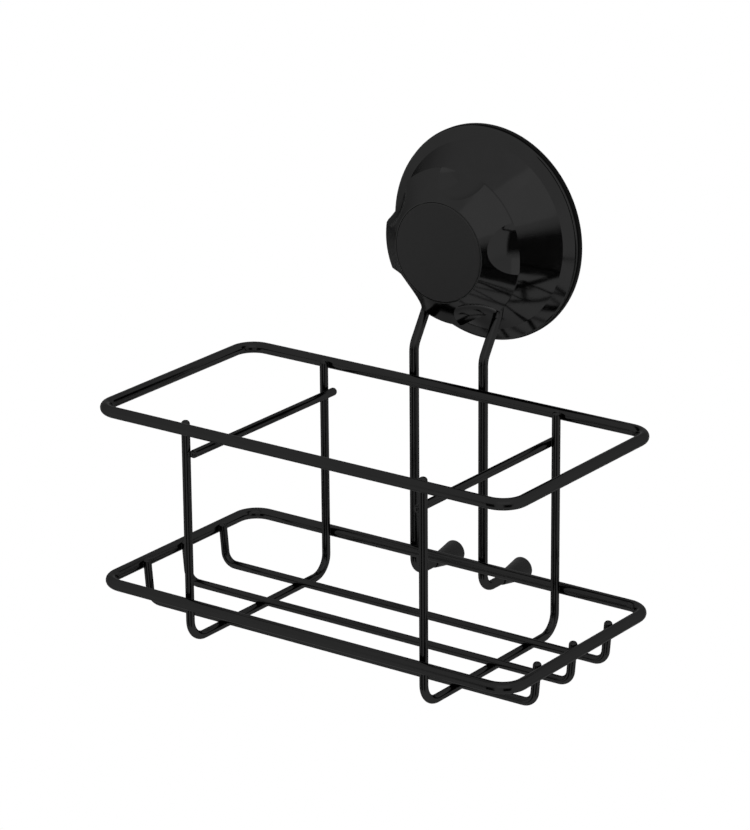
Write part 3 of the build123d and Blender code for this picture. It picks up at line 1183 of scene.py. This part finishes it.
@dataclass
class Studio:
    """A pale floor far below, a plain glow all round, two soft lamps, matt cards and the camera."""

    camera_place: tuple[float, float, float] = (0.8977, -1.3206, 0.4712)
    azimuth: float = 35.998
    elevation: float = 19.153
    roll: float = -0.477
    focal_pixels: float = 3870.7
    frame_height: int = 830
    sensor: float = 36.0
    floor_height: float = -1.40
    floor_half_width: float = 30.0
    floor_colour: Colour = grey(0.86)
    horizon_glow: float = 1.0
    sky_glow: float = 0.92
    sky_start: float = 0.02
    sky_end: float = 0.20
    aim: tuple[float, float, float] = (0.0, -0.06, -0.06)
    lamps: tuple[Softbox, ...] = (
        Softbox("key_softbox", place=(0.92, -1.24, 1.11), size=(1.5, 1.5), glow=0.26),
        Softbox("top_softbox", place=(0.45, -0.25, 1.60), size=(1.3, 1.3), glow=0.06),
    )
    flags: tuple[Flag, ...] = (
        Flag("left_front_flag", bearing=-10.5, spread=37.0, tone=0.09),
        Flag("right_front_flag", bearing=51.0, spread=34.0, tone=0.09),
        Flag("left_rear_flag", bearing=-121.0, spread=34.0, tone=0.25),
        Flag("right_rear_flag", bearing=195.0, spread=30.0, tone=0.25),
    )

    def build_camera(self) -> None:
        """Places the camera at the measured viewing angle, turned by its roll."""
        azimuth = math.radians(self.azimuth)
        elevation = math.radians(self.elevation)
        roll = math.radians(self.roll)
        level = Vector((math.cos(azimuth), math.sin(azimuth), 0.0))
        outward = Vector((math.sin(azimuth), -math.cos(azimuth), 0.0))
        back = math.cos(elevation) * outward + Vector((0.0, 0.0, math.sin(elevation)))
        upright = back.cross(level)
        right = math.cos(roll) * level + math.sin(roll) * upright
        up = math.cos(roll) * upright - math.sin(roll) * level
        data = bpy.data.cameras.new("photo_camera")
        data.sensor_fit = "VERTICAL"
        data.sensor_width = self.sensor
        data.sensor_height = self.sensor
        data.lens = self.focal_pixels / self.frame_height * self.sensor
        made = linked("photo_camera", data)
        turn = Matrix((right, up, back)).transposed().to_4x4()
        made.matrix_world = Matrix.Translation(self.camera_place) @ turn
        bpy.context.scene.camera = made

    def build_floor(self) -> None:
        """Lays the floor: pale paint that the camera and mirrors see as white."""
        mesh = bpy.data.meshes.new("pale_floor")
        corners = self.floor_half_width * np.array([[-1.0, -1.0], [1.0, -1.0], [1.0, 1.0], [-1.0, 1.0]])
        heights = np.full(len(corners), self.floor_height)
        mesh.from_pydata(np.column_stack([corners, heights]).tolist(), [], ONE_FACE)
        made = linked("pale_floor", mesh)
        paint = bpy.data.materials.new("pale_floor_paint")
        graph = Graph(paint)
        seen = graph.node("ShaderNodeLightPath", output="Is Camera Ray")
        for ray in ("Is Glossy Ray", "Is Transmission Ray"):
            seen = seen.at_least(graph.node("ShaderNodeLightPath", output=ray))
        white = graph.node("ShaderNodeEmission", None, {"Color": WHITE, "Strength": 1.0})
        graph.end("ShaderNodeOutputMaterial", graph.mix(seen, graph.matt(self.floor_colour), white))
        mesh.materials.append(paint)

    def build_sky(self) -> None:
        """Fills the room with a plain glow: white at the horizon and a little greyer overhead."""
        world = bpy.data.worlds.new("studio_glow")
        graph = Graph(world)
        height = graph.part(graph.node("ShaderNodeTexCoord", output="Generated"), "Z")
        climb = graph.ramp(height, self.sky_start, self.sky_end)
        glow = self.horizon_glow + climb * (self.sky_glow - self.horizon_glow)
        sky = graph.node("ShaderNodeBackground", None, {"Color": WHITE, "Strength": glow})
        graph.end("ShaderNodeOutputWorld", sky)
        bpy.context.scene.world = world

    def build(self) -> None:
        """Sets up the view, the floor and the light."""
        bpy.context.scene.view_settings.view_transform = "Standard"
        self.build_camera()
        self.build_floor()
        self.build_sky()
        for lamp in self.lamps:
            lamp.build(Vector(self.aim))
        for flag in self.flags:
            flag.build()
        LOG.info("studio ready with %d lamps and %d cards", len(self.lamps), len(self.flags))


def main() -> None:
    """Builds the studio and dresses the caddy, sub-assembly by sub-assembly."""
    logging.basicConfig(level=logging.INFO, format="%(name)s: %(message)s")
    Studio().build()
    WireBasket().build()
    Bumpers().build()
    SuctionCup().build()


if __name__ == "__main__":
    main()
